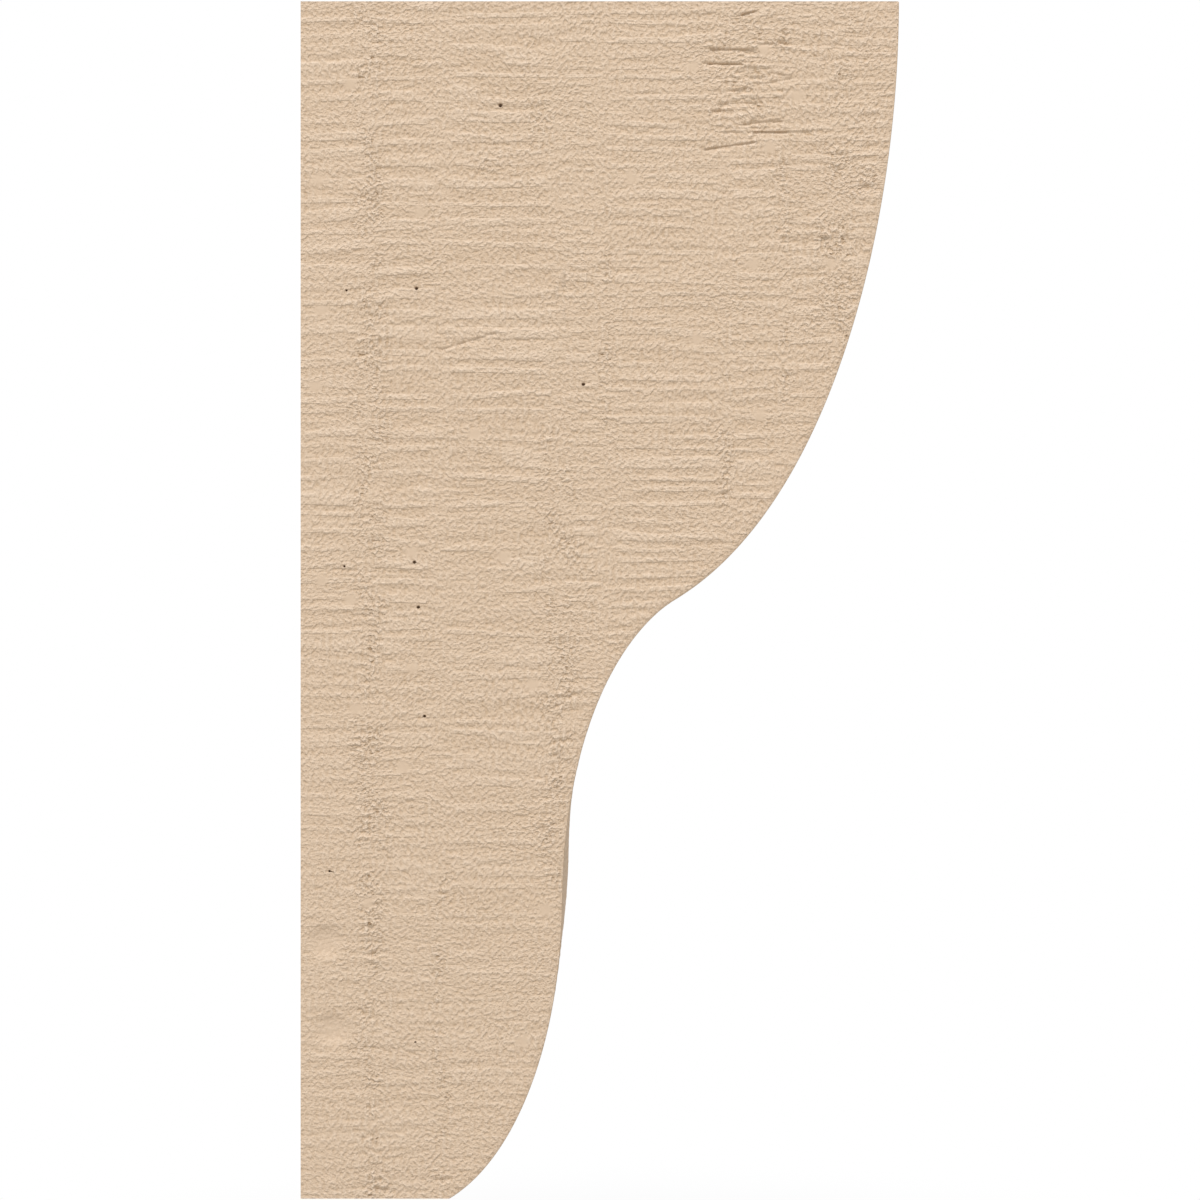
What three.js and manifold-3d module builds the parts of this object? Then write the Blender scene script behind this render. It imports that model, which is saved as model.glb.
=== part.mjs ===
// Rough-sawn faux-wood corbel, cast in one piece of rigid polyurethane foam.
//
// X runs out from the wall, Y across the width and Z up, in millimetres. The
// origin is the middle of the flat back, where the corbel meets the wall.

import * as THREE from 'three';
import { mergeGeometries, mergeVertices } from 'three/addons/utils/BufferGeometryUtils.js';
import Module from 'manifold-3d';

// Overall size: 12 in out from the wall, 24 in high and 6 in wide
const PROJECTION = 304.8;
const HEIGHT = 609.6;
const WIDTH = 152.4;

// The front edge is an S-curve through four stations, from the top down. Each
// has its distance from the wall, its height above the middle and its lean
// from the vertical in degrees, and holds that lean for so far above and below.
const STATIONS = [
  { out: PROJECTION, up: HEIGHT / 2, lean: 0, below: 111 },
  { out: 190.5, up: 0, lean: 59, above: 94, below: 24 },
  { out: 133.35, up: -152.4, lean: 0.8, above: 97, below: 81 },
  { out: 76.2, up: -HEIGHT / 2, lean: 59, above: 34.5 },
];
const CURVE_FACETS = 66;

// Saw marks: shallow tapered cuts that lie level across the faces, in rows
const ROW_PITCH = 8.8;
const ROW_JITTER = [0.75, 1.25];
const MARK_BREADTH = [2.4, 4.2];
const MARK_DEPTH = [0.5, 1.0];
const MARK_LENGTH = [34, 110];
const MARK_GAP = [3, 12];
const EDGE_LAND = 3.5;

// Torn grain: three rings run straight up the side faces, so the level marks
// stop at them, and upright tears follow them
const GRAIN_LINES = [35, 131, 247];
const GRAIN_CLEARANCE = 4;
const GRAIN_WANDER = [-2.4, 2.4];
const TEAR_LENGTH = [18, 44];
const TEAR_STEP = [50, 75];
const TEAR_BREADTH = 2.6;
const TEAR_DEPTH = 0.7;

// Two dished knots low down beside the wall, on each side face
const KNOTS = [
  { out: 12.6, up: -174 },
  { out: 16.1, up: -219 },
];
const KNOT_RADIUS = 9.5;
const KNOT_DEPTH = 1.4;

// Cuts start this far outside the face, so that each leaves a clean rim
const PROUD = 0.1;

// Each face has its own repeatable run of marks
const FRONT_SEED = 9000;
const SIDE_SEEDS = { '-1': 100, '1': 5000 };

const TAN_PRIMER = new THREE.MeshStandardMaterial({
  color: new THREE.Color('rgb(214, 190, 163)'),
  roughness: 0.85,
  metalness: 0,
});

// The curve of the front edge, with x as distance from the wall and y as height
function frontEdge() {
  const path = new THREE.Path();
  path.moveTo(STATIONS[0].out, STATIONS[0].up);
  for (let i = 1; i < STATIONS.length; i += 1) {
    const from = STATIONS[i - 1];
    const to = STATIONS[i];
    const leanFrom = THREE.MathUtils.degToRad(from.lean);
    const leanTo = THREE.MathUtils.degToRad(to.lean);
    path.bezierCurveTo(
      from.out - from.below * Math.sin(leanFrom),
      from.up - from.below * Math.cos(leanFrom),
      to.out + to.above * Math.sin(leanTo),
      to.up + to.above * Math.cos(leanTo),
      to.out,
      to.up,
    );
  }
  return path;
}

const FRONT = frontEdge();
const FRONT_POINTS = FRONT.getSpacedPoints(CURVE_FACETS);

// Distance of the front edge from the wall at a height
function frontAt(up) {
  const next = FRONT_POINTS.findIndex((point) => point.y <= up);
  if (next <= 0) return PROJECTION;
  const above = FRONT_POINTS[next - 1];
  const below = FRONT_POINTS[next];
  return THREE.MathUtils.mapLinear(up, above.y, below.y, above.x, below.x);
}

// The plain casting: the side's outline carried straight across the width
function blank() {
  const outline = new THREE.Shape([
    new THREE.Vector2(0, HEIGHT / 2),
    ...FRONT_POINTS,
    new THREE.Vector2(0, -HEIGHT / 2),
  ]);
  const geometry = new THREE.ExtrudeGeometry(outline, { depth: WIDTH, bevelEnabled: false });
  geometry.rotateX(Math.PI / 2);
  geometry.translate(0, WIDTH / 2, 0);
  return geometry;
}

// A tapered cut into a face: where its middle is, the way that it lies and
// the way into the material
function taperedCut(centre, along, inward, length, breadth, depth) {
  const across = new THREE.Vector3().crossVectors(inward, along);
  const cut = new THREE.OctahedronGeometry(1);
  cut.scale(length / 2, breadth / 2, depth + PROUD);
  cut.applyMatrix4(new THREE.Matrix4().makeBasis(along, across, inward));
  cut.translate(...centre.clone().addScaledVector(inward, -PROUD));
  return cut;
}

// A repeatable pick between two limits, a new one each time
function picksFrom(seed) {
  let count = seed;
  return ([low, high]) => {
    count += 1;
    return THREE.MathUtils.lerp(low, high, THREE.MathUtils.seededRandom(count));
  };
}

// The marks that one row holds between two places, as pairs of ends
function marksAlong(start, finish, pick) {
  const marks = [];
  let from = start;
  while (finish - from > MARK_LENGTH[0] / 2) {
    const to = Math.min(from + pick(MARK_LENGTH), finish);
    marks.push([from, to]);
    from = to + pick(MARK_GAP);
  }
  return marks;
}

const OUT = new THREE.Vector3(1, 0, 0);
const ACROSS = new THREE.Vector3(0, 1, 0);
const UP = new THREE.Vector3(0, 0, 1);

// Saw marks of one side face, in rows between the grain lines and clear of
// the knots
function sawMarks(face, inward, pick) {
  const cuts = [];
  const lowest = -HEIGHT / 2 + EDGE_LAND;
  for (let up = HEIGHT / 2 - ROW_PITCH; up > lowest; up -= ROW_PITCH * pick(ROW_JITTER)) {
    const knot = KNOTS.find((one) => Math.abs(one.up - up) < KNOT_RADIUS + MARK_BREADTH[1]);
    const nearest = knot ? knot.out + KNOT_RADIUS : 0;
    const furthest = frontAt(up - MARK_BREADTH[1] / 2);
    const lines = GRAIN_LINES.filter((line) => line > nearest && line < furthest);
    const stops = [nearest, ...lines, furthest];
    for (let i = 1; i < stops.length; i += 1) {
      const start = stops[i - 1] + (i === 1 ? EDGE_LAND : GRAIN_CLEARANCE);
      const finish = stops[i] - (i === stops.length - 1 ? EDGE_LAND : GRAIN_CLEARANCE);
      for (const [from, to] of marksAlong(start, finish, pick)) {
        const centre = new THREE.Vector3((from + to) / 2, face, up);
        cuts.push(taperedCut(centre, OUT, inward, to - from, pick(MARK_BREADTH), pick(MARK_DEPTH)));
      }
    }
  }
  return cuts;
}

// Upright tears along the grain lines of one side face
function grainTears(face, inward, pick) {
  const cuts = [];
  for (const line of GRAIN_LINES) {
    let up = HEIGHT / 2 - pick(TEAR_STEP);
    while (up > -HEIGHT / 2 + TEAR_LENGTH[1] && frontAt(up - TEAR_LENGTH[1]) > line + EDGE_LAND) {
      const centre = new THREE.Vector3(line + pick(GRAIN_WANDER), face, up);
      cuts.push(taperedCut(centre, UP, inward, pick(TEAR_LENGTH), TEAR_BREADTH, TEAR_DEPTH));
      up -= pick(TEAR_STEP);
    }
  }
  return cuts;
}

function dishedKnots(face, inward) {
  return KNOTS.map((knot) => {
    const dish = new THREE.SphereGeometry(1, 16, 6).toNonIndexed();
    dish.scale(KNOT_RADIUS, KNOT_DEPTH + PROUD, KNOT_RADIUS);
    dish.translate(knot.out, face - inward.y * PROUD, knot.up);
    return dish;
  });
}

// Saw marks across the curved front, square to the curve at each row
function frontMarks(pick) {
  const cuts = [];
  const length = FRONT.getLength();
  const reach = WIDTH / 2 - EDGE_LAND;
  for (let run = ROW_PITCH; run < length - ROW_PITCH; run += ROW_PITCH * pick(ROW_JITTER)) {
    const spot = FRONT.getPointAt(run / length);
    const slope = FRONT.getTangentAt(run / length);
    const inward = new THREE.Vector3(slope.y, 0, -slope.x);
    for (const [from, to] of marksAlong(-reach + pick(MARK_GAP), reach, pick)) {
      const centre = new THREE.Vector3(spot.x, (from + to) / 2, spot.y);
      cuts.push(taperedCut(centre, ACROSS, inward, to - from, pick(MARK_BREADTH), pick(MARK_DEPTH)));
    }
  }
  return cuts;
}

// A closed geometry as a solid that can be cut
function toSolid(wasm, geometry) {
  const bare = geometry.clone();
  bare.deleteAttribute('normal');
  bare.deleteAttribute('uv');
  const merged = mergeVertices(bare, 1e-4);
  return new wasm.Manifold(new wasm.Mesh({
    numProp: 3,
    vertProperties: new Float32Array(merged.attributes.position.array),
    triVerts: new Uint32Array(merged.index.array),
  }));
}

function toGeometry(solid) {
  const mesh = solid.getMesh();
  const geometry = new THREE.BufferGeometry();
  geometry.setAttribute('position', new THREE.BufferAttribute(mesh.vertProperties, 3));
  geometry.setIndex(new THREE.BufferAttribute(mesh.triVerts, 1));
  return geometry;
}

const cuts = frontMarks(picksFrom(FRONT_SEED));
for (const side of [-1, 1]) {
  const face = (side * WIDTH) / 2;
  const inward = new THREE.Vector3(0, -side, 0);
  const pick = picksFrom(SIDE_SEEDS[side]);
  cuts.push(...sawMarks(face, inward, pick));
  cuts.push(...grainTears(face, inward, pick));
  cuts.push(...dishedKnots(face, inward));
}

const wasm = await Module();
wasm.setup();

const blankSolid = toSolid(wasm, blank());
const cutSolid = toSolid(wasm, mergeGeometries(cuts));

const corbel = new THREE.Group();
const body = new THREE.Mesh(toGeometry(blankSolid.subtract(cutSolid)), TAN_PRIMER);
body.name = 'corbel_body';
corbel.add(body);

export default corbel;
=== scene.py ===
import math

import bmesh
import bpy
import numpy as np
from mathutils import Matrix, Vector
from mathutils.geometry import interpolate_bezier


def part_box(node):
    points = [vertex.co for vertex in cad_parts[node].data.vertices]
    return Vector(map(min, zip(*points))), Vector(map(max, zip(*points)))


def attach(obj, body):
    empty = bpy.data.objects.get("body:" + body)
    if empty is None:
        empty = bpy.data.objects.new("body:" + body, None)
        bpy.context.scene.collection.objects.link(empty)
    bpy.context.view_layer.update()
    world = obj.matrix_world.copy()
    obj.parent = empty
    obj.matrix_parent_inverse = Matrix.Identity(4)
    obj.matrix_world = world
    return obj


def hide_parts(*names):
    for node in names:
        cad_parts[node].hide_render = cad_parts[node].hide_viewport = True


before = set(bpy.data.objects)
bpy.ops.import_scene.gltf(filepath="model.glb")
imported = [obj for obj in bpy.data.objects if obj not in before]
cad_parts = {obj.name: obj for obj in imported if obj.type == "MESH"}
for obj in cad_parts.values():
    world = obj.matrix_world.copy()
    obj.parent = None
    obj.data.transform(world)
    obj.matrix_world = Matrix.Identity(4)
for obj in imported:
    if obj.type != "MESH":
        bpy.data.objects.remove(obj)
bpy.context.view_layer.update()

low, high = (Vector(corner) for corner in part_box("corbel_body"))
middle = (low + high) / 2

# The view: square on to the corbel's side at its middle height, near enough
# for perspective to show a sliver of the front face at the waist.
VIEW_DISTANCE = 0.7856
VIEW_WIDTH_AT_SIDE = 0.6109

view_lens = bpy.data.cameras.new("side_view")
view_lens.lens = view_lens.sensor_width * VIEW_DISTANCE / VIEW_WIDTH_AT_SIDE
view_lens.clip_end = 100
camera = bpy.data.objects.new("side_view", view_lens)
camera.location = (middle.x, low.y - VIEW_DISTANCE, middle.z)
camera.rotation_euler = (math.pi / 2, 0, 0)
bpy.context.scene.collection.objects.link(camera)
bpy.context.scene.camera = camera


# The studio: a pale floor well below the hung corbel, which brightens to white
# far off like a lit sweep, an even room, and two soft lamps: one high before
# the near side and one over the far side, which leave the front in soft shade.
FLOOR_DROP = 1.3
FLOOR_REACH = 60
FLOOR_PALE = (0.5, 0.5, 0.5, 1)
SWEEP_STARTS = 1.6
SWEEP_ENDS = 3.6


class Sum:
    """A socket of a node tree, for sums that are written as Python."""

    def __init__(self, socket):
        self.socket = socket

    @staticmethod
    def node(tree, kind, settings=None, inputs=None, output=0):
        """Adds a node: its settings first, then its sockets' values or links."""
        made = tree.nodes.new(kind)
        for name, value in (settings or {}).items():
            setattr(made, name, value)
        for name, value in (inputs or {}).items():
            if isinstance(value, Sum):
                tree.links.new(value.socket, made.inputs[name])
            else:
                made.inputs[name].default_value = value
        return made if output is None else Sum(made.outputs[output])

    @staticmethod
    def maths(operation, *values, clamp=False):
        tree = next(value for value in values if isinstance(value, Sum)).socket.id_data
        return Sum.node(
            tree,
            "ShaderNodeMath",
            {"operation": operation, "use_clamp": clamp},
            dict(enumerate(values)),
        )

    def __add__(self, other):
        return Sum.maths("ADD", self, other)

    __radd__ = __add__

    def __mul__(self, other):
        return Sum.maths("MULTIPLY", self, other)

    __rmul__ = __mul__

    def __sub__(self, other):
        return Sum.maths("SUBTRACT", self, other)

    def __rsub__(self, other):
        return Sum.maths("SUBTRACT", other, self)

    def __truediv__(self, other):
        return Sum.maths("DIVIDE", self, other)

    def __rtruediv__(self, other):
        return Sum.maths("DIVIDE", other, self)


def smooth_step(value, start, finish):
    """0 before start and 1 after finish, or the other way round, with a soft turn."""
    share = Sum.maths("DIVIDE", value - start, finish - start, clamp=True)
    return share * share * (3 - 2 * share)


floor_mesh = bpy.data.meshes.new("floor")
floor_z = low.z - FLOOR_DROP
floor_mesh.from_pydata(
    [
        (middle.x + x * FLOOR_REACH, y * FLOOR_REACH, floor_z)
        for x, y in ((-1, -1), (1, -1), (1, 1), (-1, 1))
    ],
    [],
    [(0, 1, 2, 3)],
)
floor = bpy.data.objects.new("floor", floor_mesh)
bpy.context.scene.collection.objects.link(floor)
floor_paint = bpy.data.materials.new("floor_paint")
floor_paint.use_nodes = True
floor_tree = floor_paint.node_tree
floor_shader = floor_tree.nodes["Principled BSDF"]
floor_shader.inputs["Base Color"].default_value = FLOOR_PALE
floor_shader.inputs["Roughness"].default_value = 0.9
floor_shader.inputs["Emission Color"].default_value = (1, 1, 1, 1)
floor_spot = Sum.node(floor_tree, "ShaderNodeTexCoord", output="Object")
floor_spot = Sum.node(
    floor_tree,
    "ShaderNodeVectorMath",
    {"operation": "SUBTRACT"},
    {0: floor_spot, 1: (middle.x, 0, floor_z)},
)
far_off = Sum.node(
    floor_tree, "ShaderNodeVectorMath", {"operation": "LENGTH"}, {0: floor_spot}, output="Value"
)
lit_sweep = Sum.node(
    floor_tree, "ShaderNodeEmission", inputs={"Color": (1, 1, 1, 1), "Strength": 1.0}
)
floor_look = Sum.node(
    floor_tree,
    "ShaderNodeMixShader",
    inputs={
        0: smooth_step(far_off, SWEEP_STARTS, SWEEP_ENDS),
        1: Sum(floor_shader.outputs[0]),
        2: lit_sweep,
    },
)
floor_tree.links.new(floor_look.socket, floor_tree.nodes["Material Output"].inputs["Surface"])
floor_mesh.materials.append(floor_paint)


LAMP_DISTANCE = 16
LAMP_TINT = (0.955, 0.995, 1.085)
ROOM_TINT = (1.05, 0.957, 0.825, 1)
ROOM_STRENGTH = 0.365


def soft_lamp(name, direction, power, softness):
    """A round soft lamp, far off in the direction given, that lights the corbel
    with so much power a square metre, a little more at its top."""
    lamp = bpy.data.lights.new(name, "AREA")
    lamp.shape = "DISK"
    lamp.size = 2 * LAMP_DISTANCE * math.tan(math.radians(softness / 2))
    lamp.energy = power * math.pi * LAMP_DISTANCE**2
    lamp.color = LAMP_TINT
    stand = bpy.data.objects.new(name, lamp)
    stand.location = middle + Vector(direction).normalized() * LAMP_DISTANCE
    stand.rotation_euler = (-Vector(direction)).to_track_quat("-Z", "Y").to_euler()
    bpy.context.scene.collection.objects.link(stand)


soft_lamp("near_side_lamp", (-0.15, -0.6, 1.25), power=3.0, softness=12)
soft_lamp("far_side_lamp", (0.1, 1.0, 0.75), power=1.45, softness=20)

room = bpy.data.worlds.new("white_room")
room.use_nodes = True
room_tree = room.node_tree
room_tree.nodes.clear()
room_fill = Sum.node(
    room_tree, "ShaderNodeBackground", inputs={"Color": ROOM_TINT, "Strength": ROOM_STRENGTH}
)
room_seen = Sum.node(
    room_tree, "ShaderNodeBackground", inputs={"Color": (1, 1, 1, 1), "Strength": 1.0}
)
seen_by_camera = Sum.node(room_tree, "ShaderNodeLightPath")
room_light = Sum.node(
    room_tree, "ShaderNodeMixShader", inputs={0: seen_by_camera, 1: room_fill, 2: room_seen}
)
Sum.node(room_tree, "ShaderNodeOutputWorld", inputs={"Surface": room_light}, output=None)
bpy.context.scene.world = room
bpy.context.scene.view_settings.view_transform = "Standard"


# The casting: one block of rigid polyurethane foam with the look of rough-sawn
# timber, a flat back and ends and an S-curved front edge. The mesh is a stack
# of level slices, each running round the near side, the front, the far side
# and the back.
HALF_HEIGHT = high.z
HALF_WIDTH = high.y
# Where the front edge stands at four places down its height: distance from the
# wall, height, lean from the vertical, and how far it holds that lean above
# and below
STATIONS = (
    (high.x, HALF_HEIGHT, 0.0, 0.0, 0.111),
    (0.1905, 0.0, math.radians(59), 0.094, 0.024),
    (0.13335, -0.1524, math.radians(0.8), 0.097, 0.081),
    (0.0762, -HALF_HEIGHT, math.radians(59), 0.0345, 0.0),
)
# How finely the mesh is cut: points in each stretch of the front's curve, the
# steps down and along the sides, and the columns of the front and the back
CURVE_POINTS = 400
SLICE_STEP = 0.0013
SIDE_STEP = 0.003
FRONT_COLUMNS = 36
BACK_COLUMNS = 2
CORNER_RADIUS = 0.0011
CORNER_STEPS = 2
# Where each face's stretch of the sawn pattern starts, and where across the
# pattern the two ends lie, which share a stretch
STRETCH_STARTS = {"near": 0.0, "far": 2.0, "front": 4.0, "back": 6.0, "top": 8.0, "bottom": 8.0}
ENDS_ACROSS = {"top": 1.0, "bottom": 2.0}


def front_edge():
    """Points down the front edge, each with its distance along the curve."""
    points = []
    for upper, lower in zip(STATIONS, STATIONS[1:]):
        start = Vector((upper[0], upper[1], 0))
        end = Vector((lower[0], lower[1], 0))
        leave = Vector((-math.sin(upper[2]), -math.cos(upper[2]), 0)) * upper[4]
        arrive = Vector((-math.sin(lower[2]), -math.cos(lower[2]), 0)) * lower[3]
        points += interpolate_bezier(start, start + leave, end - arrive, end, CURVE_POINTS)[:-1]
    points.append(end)
    run = 0.0
    edge = [(points[0].x, points[0].y, 0.0)]
    for before, point in zip(points, points[1:]):
        run += (point - before).length
        edge.append((point.x, point.y, run))
    return edge


def slices():
    """Heights of the slices with the front's place there, evenly spaced by half
    the drop and half the way along the curve."""
    edge = front_edge()
    travel = [(HALF_HEIGHT - up + run) / 2 for out, up, run in edge]
    count = round(travel[-1] / SLICE_STEP)
    cut, at = [], 0
    for number in range(count + 1):
        wanted = travel[-1] * number / count
        while at < len(edge) - 2 and travel[at + 1] < wanted:
            at += 1
        share = (wanted - travel[at]) / (travel[at + 1] - travel[at])
        cut.append(Vector(edge[at]).lerp(Vector(edge[at + 1]), share))
    return cut


class Casting:
    """Gathers the slices' points and faces, with each face's place on the sawn pattern."""

    def __init__(self):
        self.points = []
        self.runs = []
        self.edge_gap = []
        self.faces = []
        self.zones = []

    def point(self, x, y, z, run, gap):
        self.points.append((x, y, z))
        self.runs.append(run)
        self.edge_gap.append(gap)
        return len(self.points) - 1

    def face(self, corners, zone):
        self.faces.append(corners)
        self.zones.append(zone)

    def side(self, front, up, run, y):
        """One side face's points in a slice, from the back to the front corner."""
        last = front - CORNER_RADIUS
        count = max(1, int((last - 0.4 * SIDE_STEP) / SIDE_STEP))
        stops = [SIDE_STEP * number for number in range(count + 1)] + [last]
        end_gap = HALF_HEIGHT - abs(up)
        return [self.point(x, y, up, run, min(x, last - x, end_gap)) for x in stops]

    def corner(self, front, up, run, side):
        """The eased edge between a side and the front, without its two ends."""
        made = []
        for step in range(1, CORNER_STEPS):
            turn = math.pi / 2 * step / CORNER_STEPS
            x = front - CORNER_RADIUS * (1 - math.sin(turn))
            y = side * (HALF_WIDTH - CORNER_RADIUS * (1 - math.cos(turn)))
            made.append(self.point(x, y, up, run, 0.0))
        return made

    def front(self, front, up, run):
        half = HALF_WIDTH - CORNER_RADIUS
        stops = [half * (2 * number / FRONT_COLUMNS - 1) for number in range(FRONT_COLUMNS + 1)]
        end_gap = HALF_HEIGHT - abs(up)
        return [self.point(front, y, up, run, min(half - abs(y), end_gap)) for y in stops]

    def back(self, up, run):
        """The back's points in a slice, from the far side to the near, without its ends."""
        stops = [HALF_WIDTH * (1 - 2 * number / BACK_COLUMNS) for number in range(1, BACK_COLUMNS)]
        return [self.point(0.0, y, up, run, 0.0) for y in stops]


def cast_mesh():
    cast = Casting()
    rows = []
    for front, up, run in slices():
        near = cast.side(front, up, run, -HALF_WIDTH)
        near_corner = cast.corner(front, up, run, -1)
        face = cast.front(front, up, run)
        far_corner = cast.corner(front, up, run, 1)[::-1]
        far = cast.side(front, up, run, HALF_WIDTH)
        back = cast.back(up, run)
        rows.append(
            {
                "near": near,
                "front": [near[-1]] + near_corner + face + far_corner + [far[-1]],
                "far": far,
                "back": [far[0]] + back + [near[0]],
            }
        )
    for upper, lower in zip(rows, rows[1:]):
        for zone in ("front", "back"):
            over, under = upper[zone], lower[zone]
            for i in range(len(over) - 1):
                cast.face((under[i], under[i + 1], over[i + 1], over[i]), zone)
        for zone in ("near", "far"):
            over, under = upper[zone], lower[zone]
            shared = min(len(over), len(under)) - 1
            for i in range(shared - 1):
                face = (under[i], under[i + 1], over[i + 1], over[i])
                cast.face(face if zone == "near" else face[::-1], zone)
            tip = under[shared - 1:] + over[:shared - 2:-1]
            cast.face(tuple(tip if zone == "near" else tip[::-1]), zone)
    for row, zone in ((rows[0], "top"), (rows[-1], "bottom")):
        ring = row["near"][:-1] + row["front"] + row["far"][-2:0:-1] + row["back"][:-1]
        cast.face(tuple(ring if zone == "top" else ring[::-1]), zone)
    mesh = bpy.data.meshes.new("corbel")
    mesh.from_pydata(cast.points, [], cast.faces)
    sawn = mesh.uv_layers.new(name="sawn")
    places = []
    for corners, zone in zip(cast.faces, cast.zones):
        for corner in corners:
            places += sawn_place(zone, *cast.points[corner], cast.runs[corner])
    sawn.uv.foreach_set("vector", places)
    gaps = mesh.attributes.new("edge_gap", "FLOAT", "POINT")
    gaps.data.foreach_set("value", cast.edge_gap)
    return mesh


def sawn_place(zone, x, y, z, run):
    """Where a point lies on the sawn pattern: along the saw marks, and across them.
    Each face has a stretch of the pattern, one metre long, to itself."""
    start = STRETCH_STARTS[zone]
    if zone == "front":
        return y + HALF_WIDTH + start, -run
    if zone == "back":
        return y + HALF_WIDTH + start, z
    if zone in ENDS_ACROSS:
        return y + HALF_WIDTH + start, x + ENDS_ACROSS[zone]
    return x + start, z if zone == "near" else -z


# The sawn skin, in millimetres: level saw marks that fade at the upright bands
# of torn grain, two dished knots by the wall, small blow holes where air was
# trapped in the mould, spots of filler, and a few slips of a tool.
MM = 0.001
# Each band of torn grain: distance from the wall, half its breadth, the heights
# between which it runs, and how far apart the saw marks are past it
TORN_BANDS = (
    (35.5, 7.5, -400.0, 400.0, 10.6),
    (71.6, 2.5, -300.0, -135.0, 10.9),
    (130.9, 9.0, -155.0, 92.0, 6.8),
    (155.1, 3.0, 76.0, 204.0, 7.2),
    (216.2, 4.0, 40.0, 114.0, 8.2),
    (246.8, 3.0, 100.0, 296.0, 7.8),
    (273.2, 9.0, 112.0, 230.0, 7.2),
)
FIRST_MARK_SPACING = 8.4
# Other rough patches: distance from the wall, height, half breadth, half height
# and how torn
ROUGH_PATCHES = (
    (119.0, 250.0, 6.0, 52.0, 0.6),
    (91.0, 210.0, 6.0, 18.0, 0.7),
    (225.0, 268.0, 26.0, 40.0, 0.5),
    (278.0, 262.0, 22.0, 46.0, 0.4),
    (244.0, 276.0, 4.0, 18.0, 1.0),
    (279.0, 216.0, 13.0, 16.0, 1.0),
    (280.0, 267.0, 10.0, 5.0, 0.8),
    (268.0, 139.0, 13.0, 14.0, 0.8),
)
# Knots: distance from the wall and height
KNOTS = ((12.6, -174.0), (16.1, -219.0))
KNOT_RADIUS = 9.5
KNOT_DEPTH = 1.4
KNOT_SMOOTHNESS = 0.55
# Blow holes: distance from the wall, height and radius
BLOW_HOLES = (
    (101.7, 251.9, 1.0),
    (58.9, 158.7, 0.9),
    (143.9, 109.8, 0.9),
    (57.9, 19.2, 0.9),
    (59.9, -3.7, 0.8),
    (63.0, -59.2, 0.8),
    (23.3, 157.7, 0.6),
    (22.2, 17.2, 0.6),
    (14.6, -138.1, 0.6),
    (58.4, -225.2, 0.5),
)
HOLE_DEPTH = 1.2
# Each slip of the tool runs from one place to another, steep above and so wide
# there, with a long slope below, and so deep
TOOL_SLIPS = (
    ((224.8, 298.1), (231.7, 299.8), 0.8, 0.8),
    ((208.8, 280.6), (232.4, 279.9), 0.8, 0.6),
    ((233.0, 283.1), (247.0, 283.6), 0.7, 0.4),
    ((207.4, 273.1), (224.8, 272.6), 0.9, 0.7),
    ((224.8, 272.6), (233.1, 277.6), 0.7, 0.35),
    ((219.2, 265.8), (224.8, 270.6), 0.7, 0.35),
    ((240.5, 268.2), (246.5, 267.2), 0.8, 0.5),
    ((208.1, 256.7), (250.4, 265.8), 0.7, 0.35),
    ((212.3, 252.6), (235.2, 252.9), 0.7, 0.35),
    ((208.8, 249.0), (220.0, 249.2), 1.0, 0.5),
    ((223.4, 241.5), (244.9, 244.9), 0.7, 0.4),
    ((240.7, 243.4), (245.6, 243.8), 0.7, 0.6),
    ((213.7, 238.3), (258.8, 238.4), 0.7, 0.35),
    ((231.0, 238.3), (247.7, 238.3), 0.8, 0.7),
    ((206.0, 229.4), (231.7, 233.2), 0.8, 0.6),
    ((72.0, 127.6), (99.0, 136.0), 0.9, 0.45),
)
SLIP_SLOPE = 2.8
# Spots smoothed with filler: distance from the wall and height
FILLED_SPOTS = (
    (239.1, 230.0),
    (52.3, -85.2),
    (34.0, -154.4),
    (113.4, -224.7),
    (236.1, 279.9),
    (27.8, -55.6),
    (7.5, 108.8),
    (269.7, 170.9),
    (234.0, 94.0),
    (252.9, 256.4),
    (25.3, 262.5),
    (60.4, 197.4),
    (200.4, 271.7),
    (10.5, 147.5),
    (103.7, 22.2),
    (201.5, 132.7),
    (124.6, -158.0),
    (25.3, -0.2),
    (10.0, 10.0),
    (168.4, 214.7),
    (118.0, -42.9),
    (9.0, 213.7),
    (88.9, 84.4),
    (56.9, 24.3),
    (230.5, 170.9),
    (56.9, -34.8),
)
FILLED_SPOT_RADIUS = 2.9
# The length of each face's stretch of the pattern, where along it the front
# and the plain faces lie, and how much of the fine fibres the plain faces keep
PATTERN_STRETCH = 1000.0
FRONT_FROM = 3500.0
PLAIN_FROM = 5500.0
PLAIN_SHARE = 0.35
# How high each kind of relief stands, and how far from an edge it fades out
RIDGE_HEIGHT = 0.22
FINE_LINE_HEIGHT = 0.24
BROAD_LINE_HEIGHT = 0.09
FIBRE_HEIGHT = 0.33
TEAR_HEIGHT = 1.1
FUZZ_HEIGHT = 0.46
EDGE_FADE = 3.0
# Painted shade in the hollows and painted highlight on the ridges of the skin
TAN_PAINTED_SHADE_IN_HOLLOWS = (0.535, 0.364, 0.212, 1)
TAN_PAINTED_HIGHLIGHT_ON_RIDGES = (0.850, 0.692, 0.535, 1)
# Painted shade: the darker brown in the pits and along the bottoms of the tool slips
TAN_PAINTED_SHADE_IN_PITS = (0.36, 0.22, 0.115, 1)
# Painted shade: the near black inside the blow holes
PAINTED_SHADE_IN_HOLES = (0.16, 0.10, 0.06, 1)


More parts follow.
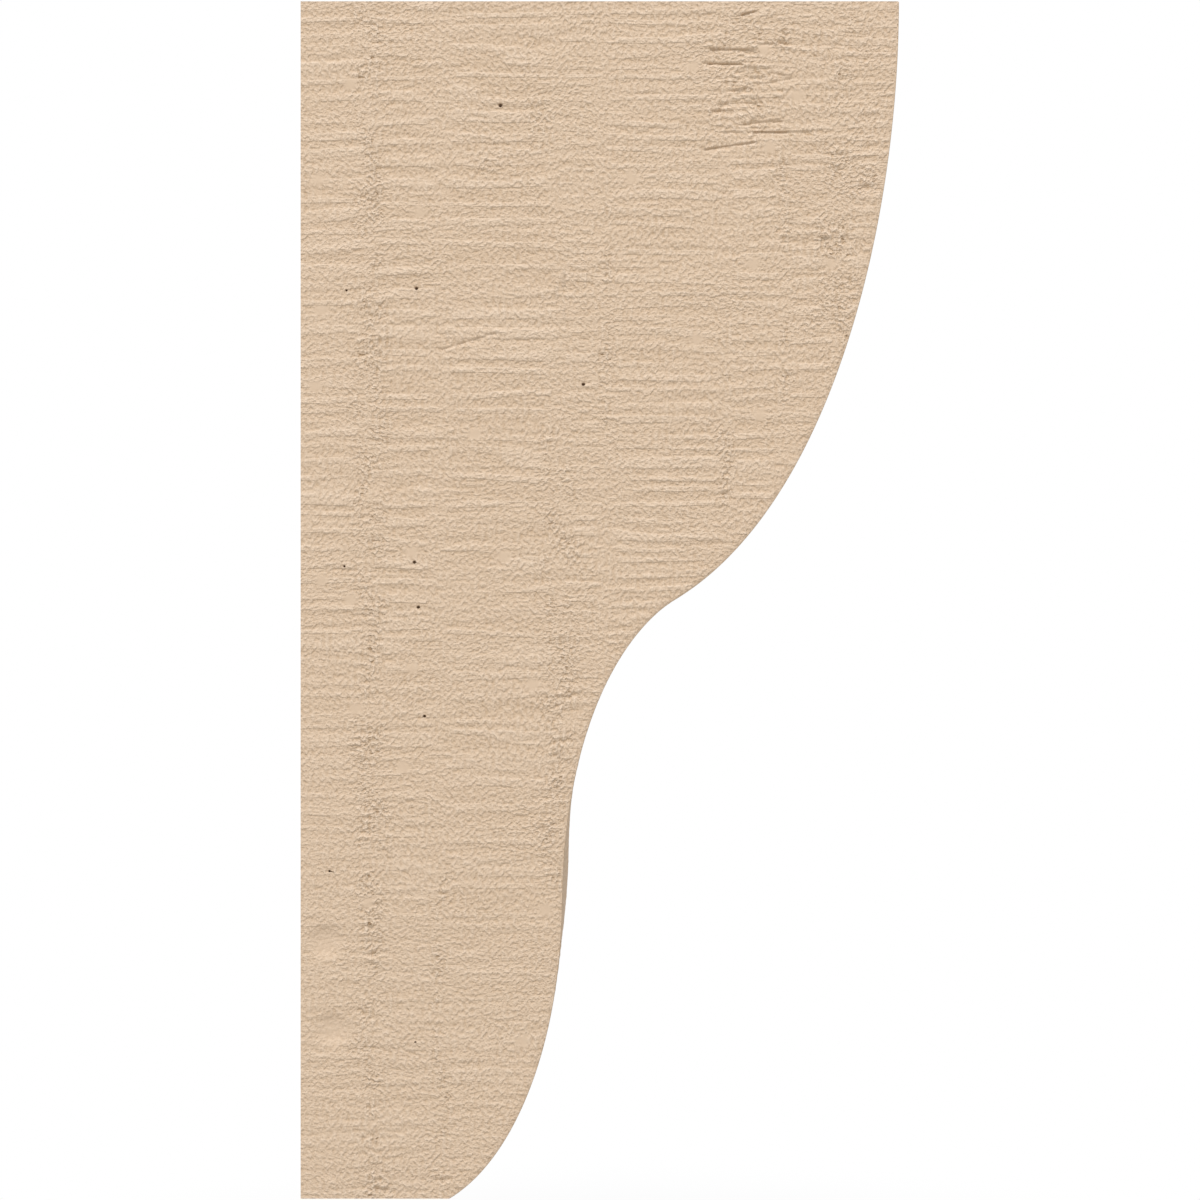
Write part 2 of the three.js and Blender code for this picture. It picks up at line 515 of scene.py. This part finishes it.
def split_finer(mesh, strokes, margin, sides):
    """Splits the sides' faces finer round the strokes cut into them. On the far
    side, marked 1, the pattern stands on its head."""
    work = bmesh.new()
    work.from_mesh(mesh)
    edges = set()
    for side in sides:
        faces = [face for face in work.faces if face.normal.y * side > 0.9]
        centres = [face.calc_center_median() / MM for face in faces]
        for start, finish, breadth in strokes:
            reach = breadth + margin
            left, right = min(start[0], finish[0]) - reach, max(start[0], finish[0]) + reach
            lowest, highest = min(start[1], finish[1]) - reach, max(start[1], finish[1]) + reach
            for face, centre in zip(faces, centres):
                if left < centre.x < right and lowest < -side * centre.z < highest:
                    edges.update(face.edges)
    bmesh.ops.subdivide_edges(work, edges=list(edges), cuts=2, use_grid_fill=True)
    work.to_mesh(mesh)
    work.free()


def ease(values, start, finish):
    """0 before start and 1 after finish, or the other way round, with a soft turn."""
    share = np.clip((values - start) / (finish - start), 0, 1)
    return share * share * (3 - 2 * share)


def away_from_stroke(out, up, start, finish, slope=SLIP_SLOPE):
    """Distance of each place from a straight stroke, made less below it, where
    the cut has its long slope."""
    run, rise = finish[0] - start[0], finish[1] - start[1]
    along, over = out - start[0], up - start[1]
    share = np.clip((along * run + over * rise) / (run**2 + rise**2), 0, 1)
    along, over = along - share * run, over - share * rise
    return np.hypot(along, np.maximum(over, -over / slope))


def cut_marks(mesh):
    """Keeps on the mesh's points how deep the knots, blow holes and tool slips
    sink them, in millimetres, and which are in a blow hole, in the sharp bottom
    of a slip or smoothed by a knot or filler; the finish paints shade into the
    blow holes and along the slips' sharp bottoms. On the far side all but the
    knots stand on their heads."""
    points = np.empty(len(mesh.vertices) * 3)
    mesh.vertices.foreach_get("co", points)
    out, across, up = points.reshape(-1, 3).T / MM
    on_side = np.abs(across) > HALF_WIDTH / MM - 0.01
    near = across < 0
    sunk, smoothed, hole = np.zeros_like(out), np.zeros_like(out), np.zeros_like(out)
    for knot_out, knot_up in KNOTS:
        reach = np.hypot(out - knot_out, up - knot_up) / KNOT_RADIUS
        knot = ease(reach, 1.15, 0.3)
        sunk += knot * KNOT_DEPTH
        smoothed = np.maximum(smoothed, knot * KNOT_SMOOTHNESS)
    up = np.where(near, up, -up)
    for hole_out, hole_up, radius in BLOW_HOLES:
        reach = np.hypot(out - hole_out, up - hole_up) / radius
        hole = np.maximum(hole, ease(reach, 1.2, 0.6))
    slip, bottom = np.zeros_like(out), np.zeros_like(out)
    for start, finish, breadth, deep in TOOL_SLIPS:
        reach = away_from_stroke(out, up, start, finish)
        slip = np.maximum(slip, ease(reach, breadth, 0) * deep)
        # Where the finish paints shade: a thin line along each slip's sharp bottom, under its
        # steep upper wall
        reach = away_from_stroke(out, up - 0.15, start, finish, slope=1)
        bottom = np.maximum(bottom, ease(reach, 0.55, 0.1) * ease(deep, 0.3, 0.8))
    for centre in FILLED_SPOTS:
        reach = np.hypot(out - centre[0], up - centre[1]) / FILLED_SPOT_RADIUS
        smoothed = np.maximum(smoothed, ease(reach, 1.5, 0.6))
    for name, values in (
        ("sunk", (sunk + hole * HOLE_DEPTH + slip * near) * on_side),
        # the blow holes, which the finish darkens as painted shade
        ("blow_hole", hole * on_side),
        ("slip_painted_shade", bottom * near * on_side),
        ("smoothed", smoothed * on_side),
    ):
        layer = mesh.attributes.new(name, "FLOAT", "POINT")
        layer.data.foreach_set("value", values.astype(np.float32))


def noise(tree, place, along, across, detail=0.0, seed=0.0):
    """Noise from -1 to 1 with grains so long and so high, in millimetres."""
    u, v = place
    vector = Sum.node(
        tree, "ShaderNodeCombineXYZ", inputs={0: u / along + seed, 1: v / across + seed}
    )
    value = Sum.node(
        tree,
        "ShaderNodeTexNoise",
        {"noise_dimensions": "2D"},
        {"Vector": vector, "Scale": 1.0, "Detail": detail, "Roughness": 0.5},
    )
    return value * 2 - 1


def face_place(place):
    """A place on the pattern as distance from the wall, or from one edge of the
    front, and height: the same on every face's stretch. One millimetre's room
    keeps a point on the wall's edge from wrapping round."""
    u, v = place
    return Sum.maths("FLOORED_MODULO", u + 1, PATTERN_STRETCH) - 1, v


def torn_grain(tree, place):
    """How torn the grain is; the turns of the saw marks, one for each mark up the
    face, differently spaced on the two sides of each torn band of a side face;
    and how clear the marks are, which break off here and there and at each band,
    and grow fainter towards the bottom."""
    out, up = face_place(place)
    side_face = Sum.maths("LESS_THAN", place[0], FRONT_FROM)
    wavy = out + noise(tree, place, 14, 30, seed=7.3) * 6
    torn, parting = 0.0, 0.0
    turns, spacing = up / FIRST_MARK_SPACING, FIRST_MARK_SPACING
    for line, half, lowest, highest, next_spacing in TORN_BANDS:
        off = Sum.maths("ABSOLUTE", wavy - line)
        band = smooth_step(off, half * 1.5, half * 0.3)
        band = band * smooth_step(up, lowest - 12, lowest + 12)
        band = band * smooth_step(up, highest + 12, highest - 12)
        torn = Sum.maths("MAXIMUM", band, torn)
        parting = Sum.maths("MAXIMUM", smooth_step(off, 6.0, 3.0) * side_face, parting)
        past = Sum.maths("GREATER_THAN", wavy, line) * side_face
        turns = past * (up * (1 / next_spacing - 1 / spacing) + 0.37) + turns
        spacing = next_spacing
    for patch_out, patch_up, half_out, half_up, how_torn in ROUGH_PATCHES:
        aside, above = (wavy - patch_out) / half_out, (up - patch_up) / half_up
        patch = smooth_step(aside * aside + above * above, 1.3, 0.5) * how_torn
        torn = Sum.maths("MAXIMUM", patch, torn)
    clumps = smooth_step(noise(tree, place, 14, 16, detail=1.0, seed=75.0), -0.35, 0.25)
    patchy = smooth_step(noise(tree, place, 26, 34, seed=71.0), 0.0, 0.5)
    torn = Sum.maths("MAXIMUM", torn * clumps, patchy * 0.15)
    turns = turns + noise(tree, place, 150, 9, seed=3.1) * 0.5
    turns = turns + noise(tree, place, 60, 40, seed=5.7) * 0.25
    clear = smooth_step(noise(tree, place, 60, 6, seed=97.0), -0.6, 0.3)
    sawn_face = Sum.maths("LESS_THAN", place[0], PLAIN_FROM)
    clear = clear * (1.0 - torn * 0.8) * (1.0 - parting)
    clear = clear * (smooth_step(up, -190, 30) * 0.5 + 0.5)
    return torn * sawn_face, turns, clear * sawn_face


def how_rough(place):
    """The skin is a little rougher towards the top and away from the wall."""
    out, up = face_place(place)
    return smooth_step(up, 20, 230) * 0.06 + smooth_step(out, 5, 45) * 0.1 + 0.86


def saw_ridges(turns, clear, softness):
    """The level, flat-topped ridges left between the cuts of the saw's teeth,
    less broad than the gaps between them, with steps so soft."""
    wave = Sum.maths("SINE", turns * (2 * math.pi))
    return (smooth_step(wave, 0.3 - softness, 0.3 + softness) - 0.4) * clear


def saw_marks(tree, place, torn, turns, clear):
    """Height of the saw marks and torn fibres, in millimetres."""
    ridges = saw_ridges(turns, clear, 0.5)
    marks = noise(tree, place, 80, 2.1, seed=23.0) * FINE_LINE_HEIGHT
    marks = marks + noise(tree, place, 80, 7.0, seed=11.0) * BROAD_LINE_HEIGHT
    fibres = noise(tree, place, 6.5, 4.6, detail=0.4, seed=41.0)
    tears = noise(tree, place, 5.0, 2.3, seed=45.0)
    relief = ridges * RIDGE_HEIGHT + marks + fibres * FIBRE_HEIGHT + tears * torn * TEAR_HEIGHT
    return relief * how_rough(place) * (1.0 - kept(tree, "smoothed"))


def fine_fibres(tree, place, torn, turns, clear, smoothed):
    """Height of what is finer than the mesh, in millimetres: the fuzz, its pits
    and the sharp edges of the saw marks. Then where the pits are, which the finish darkens as
    painted shade."""
    u, v = place
    leaning = (u, v + noise(tree, place, 60, 60, seed=51.0) * 6)
    fuzz = noise(tree, leaning, 1.8, 1.9, detail=1.0, seed=61.0)
    pits = smooth_step(noise(tree, leaning, 4.2, 1.8, detail=1.0, seed=81.0), -0.42, -0.65)
    edges = saw_ridges(turns, clear, 0.2)
    skin = fuzz * (FUZZ_HEIGHT + torn * 0.35) - pits * (0.1 + torn * 0.5) + edges * RIDGE_HEIGHT
    plain = Sum.maths("GREATER_THAN", u, PLAIN_FROM)
    share = (1.0 - smoothed) * (1.0 - plain * (1.0 - PLAIN_SHARE))
    return skin * share * how_rough(place), pits * torn * share


def kept(tree, name):
    """A value kept on the mesh's points."""
    return Sum.node(
        tree, "GeometryNodeInputNamedAttribute", {"data_type": "FLOAT"}, {"Name": name}
    )


def stored(tree, casting, name, value):
    """Keeps a value on the mesh's face corners, for the finish to read."""
    return Sum.node(
        tree,
        "GeometryNodeStoreNamedAttribute",
        {"data_type": "FLOAT", "domain": "CORNER"},
        {"Geometry": casting, "Name": name, "Value": value},
    )


def add_relief(corbel):
    """Raises and sinks the mesh by the saw marks, fading out at its edges."""
    tree = bpy.data.node_groups.new("sawn_skin", "GeometryNodeTree")
    tree.interface.new_socket("Casting", in_out="INPUT", socket_type="NodeSocketGeometry")
    depth = tree.interface.new_socket("Depth", in_out="INPUT", socket_type="NodeSocketFloat")
    finish = tree.interface.new_socket("Finish", in_out="INPUT", socket_type="NodeSocketMaterial")
    tree.interface.new_socket("Casting", in_out="OUTPUT", socket_type="NodeSocketGeometry")
    entry = tree.nodes.new("NodeGroupInput")
    casting, deep, paint = (Sum(entry.outputs[name]) for name in ("Casting", "Depth", "Finish"))
    sawn = Sum.node(
        tree,
        "GeometryNodeInputNamedAttribute",
        {"data_type": "FLOAT_VECTOR"},
        {"Name": "sawn"},
    )
    parts = Sum.node(tree, "ShaderNodeSeparateXYZ", inputs={0: sawn}, output=None)
    place = (Sum(parts.outputs[0]) / MM, Sum(parts.outputs[1]) / MM)
    torn, turns, clear = torn_grain(tree, place)
    marks = saw_marks(tree, place, torn, turns, clear)
    casting = stored(tree, casting, "torn_grain", torn)
    casting = stored(tree, casting, "saw_turns", turns)
    casting = stored(tree, casting, "marks_clear", clear)
    casting = stored(tree, casting, "saw_marks", marks)
    off_edge = smooth_step(kept(tree, "edge_gap") / MM, 0.0, EDGE_FADE)
    height = (marks - kept(tree, "sunk")) * off_edge * deep
    normal = Sum.node(tree, "GeometryNodeInputNormal")
    shift = Sum.node(
        tree, "ShaderNodeVectorMath", {"operation": "SCALE"}, {0: normal, "Scale": height}
    )
    moved = Sum.node(
        tree, "GeometryNodeSetPosition", inputs={"Geometry": casting, "Offset": shift}
    )
    solid = Sum.node(tree, "GeometryNodeRealizeInstances", inputs={"Geometry": moved})
    painted = Sum.node(
        tree, "GeometryNodeSetMaterial", inputs={"Geometry": solid, "Material": paint}
    )
    Sum.node(tree, "NodeGroupOutput", inputs={"Casting": painted}, output=None)
    skin = corbel.modifiers.new("sawn_skin", "NODES")
    skin.node_group = tree
    skin[depth.identifier] = MM
    skin[finish.identifier] = primer_finish()


def primer_finish():
    """Matte tan primer over the fibrous skin, with painted shade, a little darker and
    warmer, in its hollows, darker in its pits, slip bottoms and blow holes, and a
    painted highlight, paler, on its ridges."""
    paint = bpy.data.materials.new("tan_primer")
    paint.use_nodes = True
    tree = paint.node_tree
    shader = tree.nodes["Principled BSDF"]
    shader.inputs["Roughness"].default_value = 0.8
    shader.inputs["Specular IOR Level"].default_value = 0.25
    sawn = Sum.node(tree, "ShaderNodeUVMap", {"uv_map": "sawn"})
    parts = Sum.node(tree, "ShaderNodeSeparateXYZ", inputs={0: sawn}, output=None)
    place = (Sum(parts.outputs[0]) / MM, Sum(parts.outputs[1]) / MM)
    torn, turns, clear, marks, hole, bottom, smoothed = (
        Sum.node(tree, "ShaderNodeAttribute", {"attribute_name": name}, output="Fac")
        for name in (
            "torn_grain",
            "saw_turns",
            "marks_clear",
            "saw_marks",
            "blow_hole",
            "slip_painted_shade",
            "smoothed",
        )
    )
    fine, pits = fine_fibres(tree, place, torn, turns, clear, smoothed)
    # Painted shade and painted highlight: the tan is darker and warmer where the skin lies low and
    # paler where it stands high
    painted_light_share = Sum.maths("ADD", marks * 0.1 + fine * 0.7 + 0.5, 0.0, clamp=True)
    tan = Sum.node(
        tree,
        "ShaderNodeMix",
        {"data_type": "RGBA"},
        {0: painted_light_share, 6: TAN_PAINTED_SHADE_IN_HOLLOWS, 7: TAN_PAINTED_HIGHLIGHT_ON_RIDGES},
        output=2,
    )
    for share, colour in (
        # painted shade in the pits of torn grain
        (pits * 0.6, TAN_PAINTED_SHADE_IN_PITS),
        # painted shade along the bottoms of the tool slips
        (bottom * 0.7, TAN_PAINTED_SHADE_IN_PITS),
        # painted shade in the blow holes
        (hole, PAINTED_SHADE_IN_HOLES),
    ):
        tan = Sum.node(
            tree, "ShaderNodeMix", {"data_type": "RGBA"}, {0: share, 6: tan, 7: colour}, output=2
        )
    tree.links.new(tan.socket, shader.inputs["Base Color"])
    bump = Sum.node(
        tree, "ShaderNodeBump", inputs={"Strength": 1.0, "Distance": MM, "Height": fine}
    )
    tree.links.new(bump.socket, shader.inputs["Normal"])
    return paint


def finished(rough):
    """The evaluated result as a plain mesh, in place of the modifier."""
    depsgraph = bpy.context.evaluated_depsgraph_get()
    mesh = bpy.data.meshes.new_from_object(
        rough.evaluated_get(depsgraph), preserve_all_data_layers=True, depsgraph=depsgraph
    )
    rough.modifiers.clear()
    rough.data = mesh


blow_holes = [((out, up), (out, up), radius) for out, up, radius in BLOW_HOLES]
slips = [(start, finish, breadth) for start, finish, breadth, deep in TOOL_SLIPS]
casting_mesh = cast_mesh()
split_finer(casting_mesh, slips, margin=0.8, sides=[-1])
split_finer(casting_mesh, blow_holes, margin=1.2, sides=[-1, 1])
split_finer(casting_mesh, blow_holes, margin=0.5, sides=[-1, 1])
cut_marks(casting_mesh)
corbel = bpy.data.objects.new("rough_sawn_corbel", casting_mesh)
bpy.context.scene.collection.objects.link(corbel)
add_relief(corbel)
finished(corbel)
corbel.data.shade_smooth()
corbel.data.set_sharp_from_angle(angle=math.radians(42))
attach(corbel, "root")
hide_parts("corbel_body")
